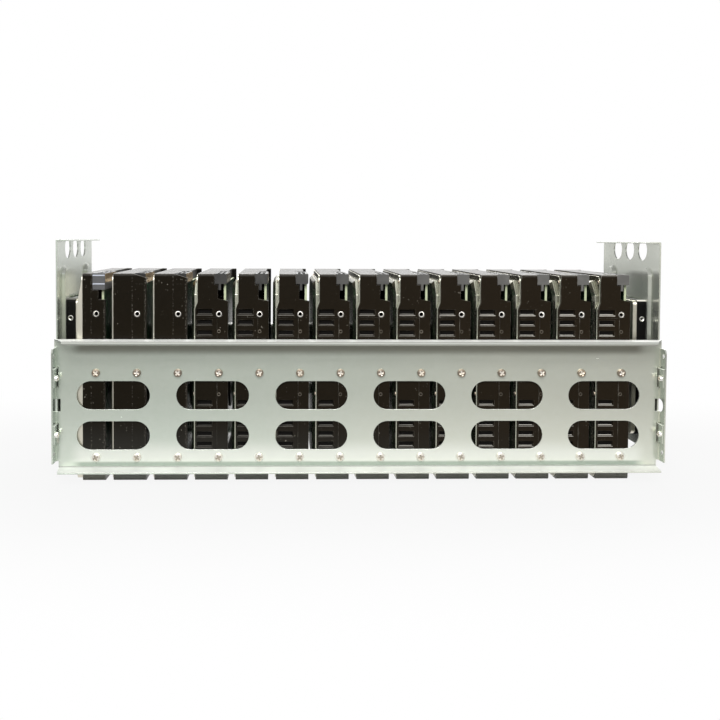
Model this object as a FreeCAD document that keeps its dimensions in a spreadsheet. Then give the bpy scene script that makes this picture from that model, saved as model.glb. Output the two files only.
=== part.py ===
import FreeCAD, Part
import os
from types import SimpleNamespace

import Sketcher

# A rack drive cage of folded sheet steel that holds fourteen 3.5-inch drives on end, connectors up, and
# one 2.5-inch drive on each side wall. X runs along the row of drives, Y from the front panel to the rear
# one, Z up. The origin is under the middle of the cage, on the surface that the drives stand on.

# Driving sizes in millimetres.
SIZES = {
    # Sheet metal
    "sheet": 1.0,
    "cage_width": 431.8,
    "bend_radius": 0.8,
    "fit": 0.05,
    # Panels, with heights measured from the lower row of drive screws
    "panel_below_row": 7.9,
    "panel_above_row": 23.8,
    "lip_depth": 13.0,
    "bottom_lip_depth": 14.6,
    "top_hem": 2.7,
    "top_lip_inset": 8.2,
    "bottom_lip_inset": 5.5,
    "corner_relief": 2.7,
    "hem_corner": 1.2,
    "flange_depth": 8.2,
    "flange_above_bottom": 5.2,
    "flange_below_top": 6.1,
    "flange_corner": 3.0,
    "window_margin": 6.2,
    "window_bridge": 18.5,
    "window_height": 20.3,
    "window_row_pitch": 28.5,
    "window_above_row": 15.5,
    # Slots and tabs that lock the walls to the panels, with heights measured from the panel's lower edge
    "tab_low": 25.0,
    "tab_high": 64.8,
    "tab_height": 13.0,
    "tab_length": 7.2,
    "slot_height": 15.0,
    "slot_width": 2.3,
    "tab_screw_forward": 5.0,
    "relief_height": 9.0,
    "relief_depth": 5.8,
    "relief_on_panel": 4.2,
    "side_hole": 3.4,
    "side_hole_forward": 5.0,
    "side_hole_low": 11.9,
    "side_hole_high": 80.6,
    # Side walls
    "wall_above_bottom": 8.1,
    "wall_above_panel": 69.9,
    "top_flange": 8.0,
    "top_flange_corner": 2.0,
    "wall_bend": 0.8,
    "vent_hole": 15.6,
    "vent_pitch": 22.3,
    "vent_below_top": 6.0,
    "bead_width": 13.0,
    "bead_height": 2.1,
    "bead_inset": 2.6,
    "bead_above_bottom": 5.9,
    "bead_below_top": 18.6,
    "bead_slope": 40.0,
    # 3.5-inch drives
    "drive_length": 147.0,
    "drive_width": 101.6,
    "side_space": 14.65,
    "drive_gap": 2.8,
    "drive_corner": 2.0,
    "thin_lid_inset": 4.775,
    "hole_from_board": 6.35,
    "hole_first": 28.5,
    "hole_second": 70.1,
    "hole_third": 130.1,
    "thread": 3.5,
    "thread_depth": 5.0,
    "hole_face": 4.7,
    "hole_face_depth": 0.3,
    "side_step": 1.3,
    "side_step_depth": 0.4,
    "side_step_below_hole": 2.5,
    "rib_pocket_margin": 0.8,
    "rib_to_hole": 4.3,
    "rib_pocket_height": 4.6,
    "rib_pocket_depth": 2.0,
    "rib_pocket_slope": 30.0,
    "rib_pitch": 7.43,
    "rib_above_first_hole": 1.3,
    "rib_above_third_hole": 8.6,
    "rail_width": 3.4,
    "board_recess": 3.15,
    "board_recess_end": 8.0,
    "board_thickness": 1.6,
    "board_clearance": 0.5,
    "board_end": 20.0,
    "motor_diameter": 30.0,
    "motor_from_end": 58.0,
    "motor_height": 2.4,
    "lid_plate": 0.8,
    "lid_border": 1.0,
    "lid_corner": 4.0,
    "lid_emboss": 2.0,
    "emboss_slope": 45.0,
    "emboss_border": 4.0,
    "emboss_corner": 8.0,
    "emboss_corner_drop": 10.0,
    "rim_drop": 1.8,
    "rim_drop_length": 20.0,
    "rim_drop_slope": 5.0,
    "deep_lid_draw": 3.3,
    "deep_lid_slope": 17.0,
    "deep_lid_shelf": 4.0,
    # Connectors of the 3.5-inch drives
    "connector_length": 38.6,
    "connector_inset": 0.6,
    "connector_depth": 8.5,
    "connector_proud": 1.0,
    "connector_height": 7.2,
    "connector_gap": 0.2,
    "old_connector_depth": 8.7,
    "old_connector_height": 11.6,
    "old_connector_proud": 0.25,
    "peg_width": 1.7,
    "peg_length": 4.4,
    "peg_setback": 2.8,
    "notch_step": 2.5,
    "notch_depth": 10.0,
    "notch_floor_drop": 1.6,
    "notch_end_gap": 3.4,
    "corner_slant": 3.0,
    "old_notch_depth": 6.5,
    "old_notch_step": 4.3,
    "socket_width": 5.1,
    "socket_depth": 5.5,
    "socket_margin": 1.2,
    "power_socket": 21.0,
    "data_socket": 11.0,
    "tongue": 1.2,
    # Screws
    "drive_screw_head": 5.8,
    "drive_screw_head_height": 1.9,
    "drive_screw_length": 4.5,
    "tab_screw_head": 4.4,
    "tab_screw_head_height": 2.0,
    "tab_screw_thread": 3.0,
    "small_screw_head": 5.2,
    "small_screw_length": 3.5,
    "small_screw_thread": 3.0,
    "head_crown": 0.6,
    # 2.5-inch drives
    "small_width": 69.85,
    "small_length": 100.0,
    "small_height": 9.5,
    "small_above_bottom": 19.0,
    "small_corner": 3.0,
    "small_lid": 3.0,
    "small_lid_border": 0.6,
    "small_hole_inset": 4.065,
    "small_hole_first": 14.0,
    "small_hole_last": 90.6,
    "small_hole_depth": 3.0,
    "small_side_hole_from_board": 3.0,
    "small_side_hole_depth": 3.0,
    "small_board_recess": 2.0,
    "small_board_margin": 8.925,
    "small_board_thickness": 1.0,
    "small_board_end": 30.0,
}

DRIVE_COUNT = 14
WINDOW_COLUMNS = 6
WINDOW_ROWS = 2
VENT_HOLES = 3
RIBS_IN_GROUP = 5
THIN_DRIVES = (1,)
PLAIN_DRIVES = (2, 3)
# Two points nearer than this are one point.
CLOSE = 1e-6

document = FreeCAD.newDocument("drive_cage")
sheet = document.addObject("Spreadsheet::Sheet", "Sizes")
for row_number, (alias, number) in enumerate(SIZES.items(), start=1):
    sheet.set(f"A{row_number}", alias)
    sheet.set(f"B{row_number}", str(number))
    sheet.setAlias(f"B{row_number}", alias)
document.recompute()


class Size:
    """A number together with the sheet formula that gives it."""

    def __init__(self, number, formula):
        self.number = number
        self.formula = formula

    def __add__(self, other):
        other = as_size(other)
        return Size(self.number + other.number, f"({self.formula} + {other.formula})")

    def __sub__(self, other):
        other = as_size(other)
        return Size(self.number - other.number, f"({self.formula} - {other.formula})")

    def __mul__(self, other):
        other = as_size(other)
        return Size(self.number * other.number, f"({self.formula} * {other.formula})")

    def __truediv__(self, other):
        other = as_size(other)
        return Size(self.number / other.number, f"({self.formula} / {other.formula})")

    def __neg__(self):
        return Size(-self.number, f"(0 - {self.formula})")


def as_size(value):
    if isinstance(value, Size):
        return value
    return Size(float(value), str(value))


dim = SimpleNamespace(**{alias: Size(number, f"Sizes.{alias}") for alias, number in SIZES.items()})
ZERO = as_size(0)

# Places that several pieces share.
lower_row = dim.drive_length - dim.hole_third
upper_row = dim.drive_length - dim.hole_second
first_hole = dim.drive_length - dim.hole_first
panel_bottom = lower_row - dim.panel_below_row
panel_top = upper_row + dim.panel_above_row
panel_back = -(dim.drive_width / 2)
panel_front = panel_back - dim.sheet
lip_front = panel_front - dim.lip_depth
bottom_lip_front = panel_front - dim.bottom_lip_depth
cage_side = dim.cage_width / 2
flange_inside = cage_side - dim.sheet
wall_inside = flange_inside - dim.sheet
wall_bottom = panel_bottom + dim.wall_above_bottom
wall_top = panel_top + dim.wall_above_panel
tab_centres = (panel_bottom + dim.tab_low, panel_bottom + dim.tab_high)
side_hole_heights = (panel_bottom + dim.side_hole_low, panel_bottom + dim.side_hole_high)
tab_screw_y = panel_front - dim.tab_screw_forward
bead_crest = wall_inside - dim.bead_height
window_pitch = (dim.cage_width - dim.window_margin * 2) / WINDOW_COLUMNS
drive_pitch = (dim.cage_width - dim.side_space * 2) / DRIVE_COUNT
first_drive_x = -(drive_pitch * (DRIVE_COUNT - 1) / 2)
casting_height = drive_pitch - dim.drive_gap - dim.lid_plate - dim.lid_emboss
board_face = dim.hole_from_board
lid_seat = board_face - casting_height
thin_lid_seat = dim.thin_lid_inset - drive_pitch / 2
recess_floor = board_face - dim.board_recess
connector_back = board_face - dim.connector_proud - dim.connector_depth
connector_bottom = dim.drive_length - dim.connector_height
behind_rail = dim.rail_width + dim.connector_gap - dim.connector_inset
old_connector_back = board_face - dim.old_connector_proud - dim.old_connector_depth
old_connector_bottom = dim.drive_length - dim.old_connector_height
small_bottom = panel_bottom + dim.small_above_bottom
small_top = small_bottom + dim.small_length
small_face = bead_crest - dim.small_height
small_lid_back = small_face + dim.small_lid
small_hole_heights = (small_top - dim.small_hole_first, small_top - dim.small_hole_last)
small_hole_y = dim.small_width / 2 - dim.small_hole_inset
small_board_edge = dim.small_width / 2 - dim.small_board_margin


# Sketch helpers
def new_body(label):
    body = document.addObject("PartDesign::Body", label)
    body.Label = label
    return body


def origin_plane(body, role):
    return next(feature for feature in body.Origin.OriginFeatures if feature.Role == role)


def new_sketch(body, name, role, offset=ZERO):
    """A sketch on one of the body's origin planes, moved along the plane's normal by offset."""
    sketch = body.newObject("Sketcher::SketchObject", name)
    sketch.AttachmentSupport = (origin_plane(body, role), [""])
    sketch.MapMode = "FlatFace"
    sketch.setExpression("AttachmentOffset.Base.z", offset.formula)
    return sketch


def tie(sketch, kind, where, size):
    """Adds one dimension to a sketch and binds it to the sheet."""
    index = sketch.addConstraint(Sketcher.Constraint(kind, *where, size.number))
    sketch.setExpression(f"Constraints[{index}]", size.formula)


def place_point(sketch, element, point, x, y):
    tie(sketch, "DistanceX", (-1, 1, element, point), x)
    tie(sketch, "DistanceY", (-1, 1, element, point), y)


def vector(x, y):
    return FreeCAD.Vector(x.number, y.number, 0)


def rounded_path(corners):
    """Turns (x, y) or (x, y, radius) corners into (start, centre) pairs; centre is None on a straight run.

    A corner with a radius lies between a run along x and a run along y.
    """
    path = []
    for index, corner in enumerate(corners):
        x, y = corner[0], corner[1]
        if len(corner) == 2:
            path.append(((x, y), None))
            continue
        radius = corner[2]
        before = corners[index - 1]
        after = corners[(index + 1) % len(corners)]
        along_x_first = abs(before[1].number - y.number) < abs(before[0].number - x.number)
        x_end, y_end = (before[0], after[1]) if along_x_first else (after[0], before[1])
        centre_x = x + radius if x_end.number > x.number else x - radius
        centre_y = y + radius if y_end.number > y.number else y - radius
        on_x_run = (centre_x, y)
        on_y_run = (x, centre_y)
        start, end = (on_x_run, on_y_run) if along_x_first else (on_y_run, on_x_run)
        path.append((start, (centre_x, centre_y)))
        path.append((end, None))
    return path


def arc_through(start, centre, end):
    """The short arc from start to end about centre."""
    start, centre, end = vector(*start), vector(*centre), vector(*end)
    middle = (start - centre) + (end - centre)
    middle.normalize()
    return Part.Arc(start, centre + middle * start.distanceToPoint(centre), end)


def arc_end(sketch, element, start):
    """Which end of an arc lies at start: sketches keep arcs anticlockwise, so it may be either."""
    return 1 if sketch.getPoint(element, 1).distanceToPoint(vector(*start)) < CLOSE else 2


def outline(sketch, corners):
    """A closed outline whose points are all placed from the sheet."""
    path = rounded_path(corners)
    joints = []
    for index, (start, centre) in enumerate(path):
        end = path[(index + 1) % len(path)][0]
        if vector(*start).distanceToPoint(vector(*end)) < CLOSE:
            continue
        if centre is None:
            element = sketch.addGeometry(Part.LineSegment(vector(*start), vector(*end)))
            first = 1
        else:
            element = sketch.addGeometry(arc_through(start, centre, end))
            first = arc_end(sketch, element, start)
        joints.append((element, first, 3 - first, start, end, centre))
    for index, (element, first, last, start, end, centre) in enumerate(joints):
        place_point(sketch, element, first, *start)
        if centre is not None:
            tall = abs(start[1].number - end[1].number) >= abs(start[0].number - end[0].number)
            kind, size = ("DistanceX", centre[0]) if tall else ("DistanceY", centre[1])
            tie(sketch, kind, (-1, 1, element, 3), size)
        following = joints[(index + 1) % len(joints)]
        sketch.addConstraint(Sketcher.Constraint("Coincident", element, last, following[0], following[1]))


def rectangle(sketch, left, low, right, high, radius=None):
    ends = ((left, low), (right, low), (right, high), (left, high))
    outline(sketch, [end if radius is None else (*end, radius) for end in ends])


def stadium(sketch, x, y, width, height):
    """A rectangle with its shorter sides rounded off completely."""
    radius = min(width, height, key=lambda size: size.number) / 2
    rectangle(sketch, x - width / 2, y - height / 2, x + width / 2, y + height / 2, radius)


def circle(sketch, x, y, diameter):
    element = sketch.addGeometry(
        Part.Circle(vector(x, y), FreeCAD.Vector(0, 0, 1), diameter.number / 2))
    place_point(sketch, element, 3, x, y)
    tie(sketch, "Diameter", (element,), diameter)


# Feature helpers
def pad(body, sketch, name, length, reverse=False, symmetric=False, taper=None):
    feature = body.newObject("PartDesign::Pad", name)
    feature.Profile = sketch
    feature.Reversed = reverse
    feature.SideType = "Symmetric" if symmetric else "One side"
    feature.setExpression("Length", length.formula)
    if taper is not None:
        feature.setExpression("TaperAngle", f"0 - {taper.formula}")
    document.recompute()
    return feature


def pocket(body, sketch, name, depth, reverse=False, symmetric=False, taper=None):
    before = body.Shape.Volume
    feature = body.newObject("PartDesign::Pocket", name)
    feature.Profile = sketch
    feature.Reversed = reverse
    feature.SideType = "Symmetric" if symmetric else "One side"
    feature.setExpression("Length", depth.formula)
    if taper is not None:
        feature.setExpression("TaperAngle", f"0 - {taper.formula}")
    document.recompute()
    if not body.Shape.Volume < before:
        raise RuntimeError(f"{body.Label}: {name} cuts nothing")
    return feature


def mirrored(body, name, role, originals):
    feature = body.newObject("PartDesign::Mirrored", name)
    feature.Originals = originals
    feature.MirrorPlane = (origin_plane(body, role), [""])
    body.Tip = feature
    document.recompute()
    return feature


def row_pattern(body, name, original, sketch, count, pitch):
    """Repeats a feature along the horizontal axis of its sketch."""
    feature = body.newObject("PartDesign::LinearPattern", name)
    feature.Originals = [original]
    feature.Direction = (sketch, ["H_Axis"])
    feature.Mode = "Spacing"
    feature.Occurrences = count
    feature.setExpression("Offset", pitch.formula)
    body.Tip = feature
    document.recompute()
    return feature


def round_edges(body, name, radius, chosen):
    """Rounds every edge of the body for which chosen(edge) is true."""
    base = body.Tip
    edges = [f"Edge{number}" for number, edge in enumerate(base.Shape.Edges, start=1) if chosen(edge)]
    feature = body.newObject("PartDesign::Fillet", name)
    feature.Base = (base, edges)
    feature.setExpression("Radius", radius.formula)
    document.recompute()
    return feature


def runs_along_x(edge):
    return edge.BoundBox.YLength < CLOSE and edge.BoundBox.ZLength < CLOSE


def runs_along_x_at(edge, y, z):
    box = edge.BoundBox
    return runs_along_x(edge) and abs(box.YMin - y.number) < CLOSE and abs(box.ZMin - z.number) < CLOSE


def runs_along_y_at(edge, x, z):
    box = edge.BoundBox
    straight = box.XLength < CLOSE and box.ZLength < CLOSE
    return straight and abs(box.XMin - x.number) < CLOSE and abs(box.ZMin - z.number) < CLOSE


def turned_link(label, master, turn, x=ZERO):
    """A copy of a master body, turned about Z and moved along X."""
    link = document.addObject("App::Link", label)
    link.Label = label
    link.LinkedObject = master
    link.Placement = FreeCAD.Placement(FreeCAD.Vector(), FreeCAD.Rotation(FreeCAD.Vector(0, 0, 1), turn))
    link.setExpression("Placement.Base.x", x.formula)
    return link


def linked_group(label, master, placements):
    """Several copies of one master body as one object."""
    link = document.addObject("App::Link", label)
    link.Label = label
    link.LinkedObject = master
    link.ShowElement = False
    link.ElementCount = len(placements)
    link.PlacementList = placements
    return link


# Sheet metal
def make_panel(label):
    """One sheet, folded forward on all four sides, with a hem on its top lip."""
    body = new_body(label)
    inside_top = panel_top - dim.sheet
    inside_bottom = panel_bottom + dim.sheet
    hem_back = lip_front + dim.sheet

    section = new_sketch(body, "panel_section", "YZ_Plane")
    outline(section, [
        (panel_back, panel_bottom), (panel_back, panel_top),
        (lip_front, panel_top), (lip_front, panel_top - dim.top_hem),
        (hem_back, panel_top - dim.top_hem), (hem_back, inside_top),
        (panel_front, inside_top), (panel_front, inside_bottom),
        (bottom_lip_front, inside_bottom), (bottom_lip_front, panel_bottom),
    ])
    pad(body, section, "folded_sheet", dim.cage_width, symmetric=True)

    inner_folds = [(panel_front, inside_bottom), (panel_front, inside_top), (hem_back, inside_top)]
    outer_folds = [(panel_back, panel_bottom), (panel_back, panel_top), (lip_front, panel_top)]
    round_edges(body, "inner_bends", dim.bend_radius,
                lambda edge: any(runs_along_x_at(edge, *fold) for fold in inner_folds))
    round_edges(body, "outer_bends", dim.bend_radius + dim.sheet,
                lambda edge: any(runs_along_x_at(edge, *fold) for fold in outer_folds))

    flange_front = panel_front - dim.flange_depth
    flange_bottom = panel_bottom + dim.flange_above_bottom
    flange_top = panel_top - dim.flange_below_top
    past_side = cage_side + dim.sheet
    past_front = lip_front - dim.sheet
    past_back = panel_back + dim.sheet
    top_end = cage_side - dim.top_lip_inset
    top_corner = new_sketch(body, "top_lip_corner", "XY_Plane", flange_top)
    outline(top_corner, [(cage_side, panel_front), (top_end, lip_front), (top_end, past_front),
                         (past_side, past_front), (past_side, panel_front)])
    top_lip_ends = pocket(body, top_corner, "top_lip_ends", panel_top - flange_top, reverse=True)
    bottom_side = cage_side - dim.corner_relief
    bottom_end = cage_side - dim.bottom_lip_inset
    bottom_corner = new_sketch(body, "bottom_lip_corner", "XY_Plane")
    past_lip = bottom_lip_front - dim.sheet
    outline(bottom_corner, [(bottom_side, past_back), (bottom_side, panel_front),
                            (bottom_end, bottom_lip_front), (bottom_end, past_lip),
                            (past_side, past_lip), (past_side, past_back)])
    bottom_lip_ends = pocket(body, bottom_corner, "bottom_lip_ends", flange_bottom, reverse=True)
    hem = new_sketch(body, "hem_corner_outline", "XZ_Plane", -lip_front)
    hem_end = top_end + dim.sheet
    hem_edge = panel_top - dim.top_hem
    outline(hem, [(top_end - dim.hem_corner, hem_edge), (hem_end, hem_edge),
                  (hem_end, hem_edge + dim.hem_corner + dim.sheet)])
    hem_corners = pocket(body, hem, "hem_corners", dim.sheet)

    flange = new_sketch(body, "flange_outline", "YZ_Plane", flange_inside)
    outline(flange, [(panel_front, flange_bottom), (panel_front, flange_top),
                     (flange_front, flange_top, dim.flange_corner),
                     (flange_front, flange_bottom)])
    side_flange = pad(body, flange, "side_flange", dim.sheet)

    slots = new_sketch(body, "slot_outline", "XZ_Plane", -panel_front)
    for height in tab_centres:
        rectangle(slots, cage_side - dim.slot_width - dim.sheet / 2, height - dim.slot_height / 2,
                  flange_inside, height + dim.slot_height / 2)
    tab_slots = pocket(body, slots, "tab_slots", dim.sheet)

    relief_height = (tab_centres[0] + tab_centres[1]) / 2
    relief = new_sketch(body, "relief_outline", "YZ_Plane", cage_side)
    stadium(relief, panel_front, relief_height, dim.relief_depth * 2, dim.relief_height)
    pocket(body, relief, "flange_relief", dim.sheet)
    bend_relief = new_sketch(body, "bend_relief_outline", "XZ_Plane", -panel_front)
    rectangle(bend_relief, cage_side - dim.relief_on_panel, relief_height - dim.relief_height / 2,
              cage_side + dim.sheet, relief_height + dim.relief_height / 2)
    panel_relief = pocket(body, bend_relief, "panel_relief", dim.sheet)

    holes = new_sketch(body, "side_hole_outline", "YZ_Plane", cage_side)
    for height in side_hole_heights:
        circle(holes, panel_front - dim.side_hole_forward, height, dim.side_hole)
    for height in tab_centres:
        circle(holes, tab_screw_y, height, dim.tab_screw_thread + dim.fit * 2)
    side_holes = pocket(body, holes, "side_holes", dim.sheet)
    mirrored(body, "other_side", "YZ_Plane",
             [top_lip_ends, bottom_lip_ends, hem_corners, side_flange, tab_slots, panel_relief, side_holes])

    window = new_sketch(body, "window_outline", "XZ_Plane", -panel_front)
    for row in range(WINDOW_ROWS):
        stadium(window, -(window_pitch * (WINDOW_COLUMNS - 1) / 2),
                lower_row + dim.window_above_row + dim.window_row_pitch * row,
                window_pitch - dim.window_bridge, dim.window_height)
    first_windows = pocket(body, window, "first_windows", dim.sheet)
    row_pattern(body, "windows", first_windows, window, WINDOW_COLUMNS, window_pitch)

    screw = new_sketch(body, "screw_hole_outline", "XZ_Plane", -panel_front)
    for height in (lower_row, upper_row):
        circle(screw, first_drive_x, height, dim.thread + dim.fit * 2)
    first_screw_holes = pocket(body, screw, "first_screw_holes", dim.sheet)
    row_pattern(body, "screw_holes", first_screw_holes, screw, DRIVE_COUNT, drive_pitch)
    return body


def make_wall(label):
    """The right side wall: a plate with tabs, vent holes, a top flange and two pressed beads."""
    body = new_body(label)
    tab_end = panel_front - dim.tab_length

    plate = new_sketch(body, "wall_outline", "YZ_Plane", wall_inside)
    front_edge = []
    for height in tab_centres:
        low = height - dim.tab_height / 2
        high = height + dim.tab_height / 2
        front_edge += [(panel_back, low), (tab_end, low), (tab_end, high), (panel_back, high)]
    front_edge = [(panel_back, wall_bottom), *front_edge, (panel_back, wall_top)]
    rear_edge = [(-y, z) for y, z in reversed(front_edge)]
    outline(plate, front_edge + rear_edge)
    pad(body, plate, "plate", dim.sheet)

    vent = new_sketch(body, "vent_outline", "YZ_Plane", flange_inside)
    circle(vent, -(dim.vent_pitch * (VENT_HOLES - 1) / 2), wall_top - dim.vent_below_top, dim.vent_hole)
    first_vent = pocket(body, vent, "first_vent", dim.sheet)
    row_pattern(body, "vents", first_vent, vent, VENT_HOLES, dim.vent_pitch)

    top = new_sketch(body, "top_flange_outline", "XY_Plane", wall_top - dim.sheet)
    flange_edge = flange_inside - dim.top_flange
    outline(top, [(flange_inside, panel_back), (flange_inside, -panel_back),
                  (flange_edge, -panel_back, dim.top_flange_corner),
                  (flange_edge, panel_back, dim.top_flange_corner)])
    pad(body, top, "top_flange", dim.sheet)
    round_edges(body, "top_bend", dim.wall_bend, lambda edge: runs_along_y_at(edge, flange_inside, wall_top))

    bead_y = dim.bead_inset - dim.small_width / 2
    bead_low = wall_bottom + dim.bead_above_bottom
    bead_high = wall_top - dim.bead_below_top
    bead_middle = (bead_low + bead_high) / 2
    bead_length = bead_high - bead_low
    bead = new_sketch(body, "bead_outline", "YZ_Plane", wall_inside)
    stadium(bead, bead_y, bead_middle, dim.bead_width, bead_length)
    bead_front = pad(body, bead, "bead_crest", dim.bead_height, reverse=True, taper=dim.bead_slope)
    groove = new_sketch(body, "groove_outline", "YZ_Plane", flange_inside)
    stadium(groove, bead_y, bead_middle, dim.bead_width - dim.sheet, bead_length - dim.sheet)
    bead_back = pocket(body, groove, "bead_groove", dim.bead_height, taper=dim.bead_slope)

    holes = new_sketch(body, "small_drive_hole_outline", "YZ_Plane", flange_inside)
    for height in small_hole_heights:
        circle(holes, -small_hole_y, height, dim.small_screw_thread + dim.fit * 2)
    for height in tab_centres:
        circle(holes, tab_screw_y, height, dim.tab_screw_thread + dim.fit * 2)
    screw_holes = pocket(body, holes, "screw_holes", dim.sheet + dim.bead_height)
    mirrored(body, "rear_half", "XZ_Plane", [bead_front, bead_back, screw_holes])
    return body


# 3.5-inch drives, each about the axis of its side holes at x = 0
def make_base(label, seat, notch, ribbed, closed_side=False):
    """A cast housing: side holes, board recess, motor hub and the notch round the connector.

    The notch opens on the side face, unless closed_side leaves the rail there whole.
    """
    body = new_body(label)
    half = dim.drive_width / 2

    block = new_sketch(body, "block_outline", "YZ_Plane", seat)
    rectangle(block, -half, ZERO, half, dim.drive_length, dim.drive_corner)
    pad(body, block, "block", board_face - seat)

    recess = new_sketch(body, "recess_outline", "YZ_Plane", board_face)
    rail = half - dim.rail_width
    rectangle(recess, -rail, dim.board_recess_end, rail, dim.drive_length + dim.drive_corner)
    pocket(body, recess, "board_recess", dim.board_recess)
    hub = new_sketch(body, "hub_outline", "YZ_Plane", recess_floor)
    circle(hub, ZERO, dim.motor_from_end, dim.motor_diameter)
    pad(body, hub, "motor_hub", dim.motor_height)

    if ribbed:
        rim = new_sketch(body, "rim_outline", "XZ_Plane")
        drop_start = dim.drive_length - dim.rim_drop_length
        outline(rim, [(seat, drop_start - dim.rim_drop_slope), (seat + dim.rim_drop, drop_start),
                      (seat + dim.rim_drop, dim.drive_length + dim.drive_corner),
                      (seat, dim.drive_length + dim.drive_corner)])
        pocket(body, rim, "lowered_rim", dim.drive_width, symmetric=True)

    sides = []
    if ribbed:
        step = new_sketch(body, "step_outline", "XZ_Plane", half)
        rectangle(step, seat, ZERO, -dim.side_step, first_hole - dim.side_step_below_hole)
        sides.append(pocket(body, step, "side_step", dim.side_step_depth))
        ribs = new_sketch(body, "rib_pocket_outline", "XZ_Plane", half)
        left = seat + dim.rib_pocket_margin
        for number in range(RIBS_IN_GROUP):
            centres = (first_hole + dim.rib_above_first_hole - dim.rib_pitch * number,
                       lower_row + dim.rib_above_third_hole + dim.rib_pitch * number)
            for centre in centres:
                rectangle(ribs, left, centre - dim.rib_pocket_height / 2,
                          -dim.rib_to_hole, centre + dim.rib_pocket_height / 2)
        sides.append(pocket(body, ribs, "rib_pockets", dim.rib_pocket_depth, taper=dim.rib_pocket_slope))
    holes = new_sketch(body, "thread_hole_outline", "XZ_Plane", half)
    for height in (first_hole, upper_row, lower_row):
        circle(holes, ZERO, height, dim.thread)
    sides.append(pocket(body, holes, "thread_holes", dim.thread_depth))
    hole_face = new_sketch(body, "hole_face_outline", "XZ_Plane", half)
    circle(hole_face, ZERO, first_hole, dim.hole_face)
    sides.append(pocket(body, hole_face, "hole_face", dim.hole_face_depth))
    mirrored(body, "far_side", "XZ_Plane", sides)

    notch_start = rail if closed_side else half
    notch_end = half - dim.connector_inset - dim.connector_length - dim.notch_end_gap
    if closed_side:
        notch_end = notch_end - behind_rail
    opening = new_sketch(body, "notch_outline", "XZ_Plane", notch_start)
    outline(opening, notch)
    pocket(body, opening, "connector_notch", notch_start - notch_end)
    if closed_side:
        slant = new_sketch(body, "slant_outline", "XZ_Plane", half)
        outline(slant, [(notch_left, dim.drive_length), (board_face, dim.drive_length - dim.corner_slant),
                        (board_face, dim.drive_length)])
        pocket(body, slant, "slanted_corner", dim.rail_width)
    return body


def make_lid(label, seat, drop):
    """A pressed lid: a plate that follows the housing's rim, with a raised field."""
    body = new_body(label)
    low = dim.lid_border
    high = dim.drive_length - dim.lid_border
    face = seat - dim.lid_plate
    width = dim.drive_width - dim.lid_border * 2

    section = new_sketch(body, "lid_section", "XZ_Plane")
    if drop is None:
        outline(section, [(seat, low), (seat, high), (face, high), (face, low)])
    else:
        bend_low = dim.drive_length - dim.rim_drop_length - dim.rim_drop_slope
        bend_high = dim.drive_length - dim.rim_drop_length
        outline(section, [(seat, low), (seat, bend_low), (seat + drop, bend_high), (seat + drop, high),
                          (face + drop, high), (face + drop, bend_high), (face, bend_low), (face, low)])
    pad(body, section, "plate", width, symmetric=True)
    round_edges(body, "plate_corners", dim.lid_corner, runs_along_x)

    edge = dim.drive_width / 2 - dim.emboss_border
    cut_edge = edge - dim.emboss_corner
    foot = low + dim.emboss_border
    head = high - dim.emboss_border
    field_corners = [(-cut_edge, foot), (cut_edge, foot),
                     (edge, foot + dim.emboss_corner_drop), (edge, head - dim.emboss_corner_drop),
                     (cut_edge, head), (-cut_edge, head),
                     (-edge, head - dim.emboss_corner_drop), (-edge, foot + dim.emboss_corner_drop)]
    field = new_sketch(body, "field_outline", "YZ_Plane", face)
    outline(field, field_corners)
    pad(body, field, "raised_field", dim.lid_emboss, reverse=True, taper=dim.emboss_slope)
    if drop is not None:
        root = new_sketch(body, "root_outline", "YZ_Plane", face)
        outline(root, field_corners)
        pad(body, root, "field_root", drop)
        under = new_sketch(body, "underside_outline", "XZ_Plane")
        outline(under, [(seat, low), (seat, bend_low), (seat + drop, bend_high), (seat + drop, high),
                        (seat + drop * 2, high), (seat + drop * 2, low)])
        pocket(body, under, "underside", width, symmetric=True)
    return body


def make_deep_lid(label, seat):
    """The older drive's deep-drawn lid, which slopes down to its rim at the connector end."""
    body = new_body(label)
    low = dim.lid_border
    high = dim.drive_length - dim.lid_border
    rim = seat - dim.lid_plate
    top = rim - dim.deep_lid_draw
    shelf = high - dim.deep_lid_shelf

    section = new_sketch(body, "deep_lid_section", "XZ_Plane")
    outline(section, [(seat, low), (seat, high), (rim, high), (rim, shelf),
                      (top, shelf - dim.deep_lid_slope), (top, low)])
    pad(body, section, "drawn_lid", dim.drive_width - dim.lid_border * 2, symmetric=True)
    round_edges(body, "lid_corners", dim.lid_corner, runs_along_x)
    return body


def make_board(label, top):
    """A circuit board in the housing's recess, cut out round the motor."""
    body = new_body(label)
    edge = dim.drive_width / 2 - dim.rail_width - dim.board_clearance
    board = new_sketch(body, "board_outline", "YZ_Plane", recess_floor)
    rectangle(board, -edge, dim.board_end, edge, top)
    circle(board, ZERO, dim.motor_from_end, dim.motor_diameter + dim.board_clearance * 2)
    pad(body, board, "board", dim.board_thickness)
    return body


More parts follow.
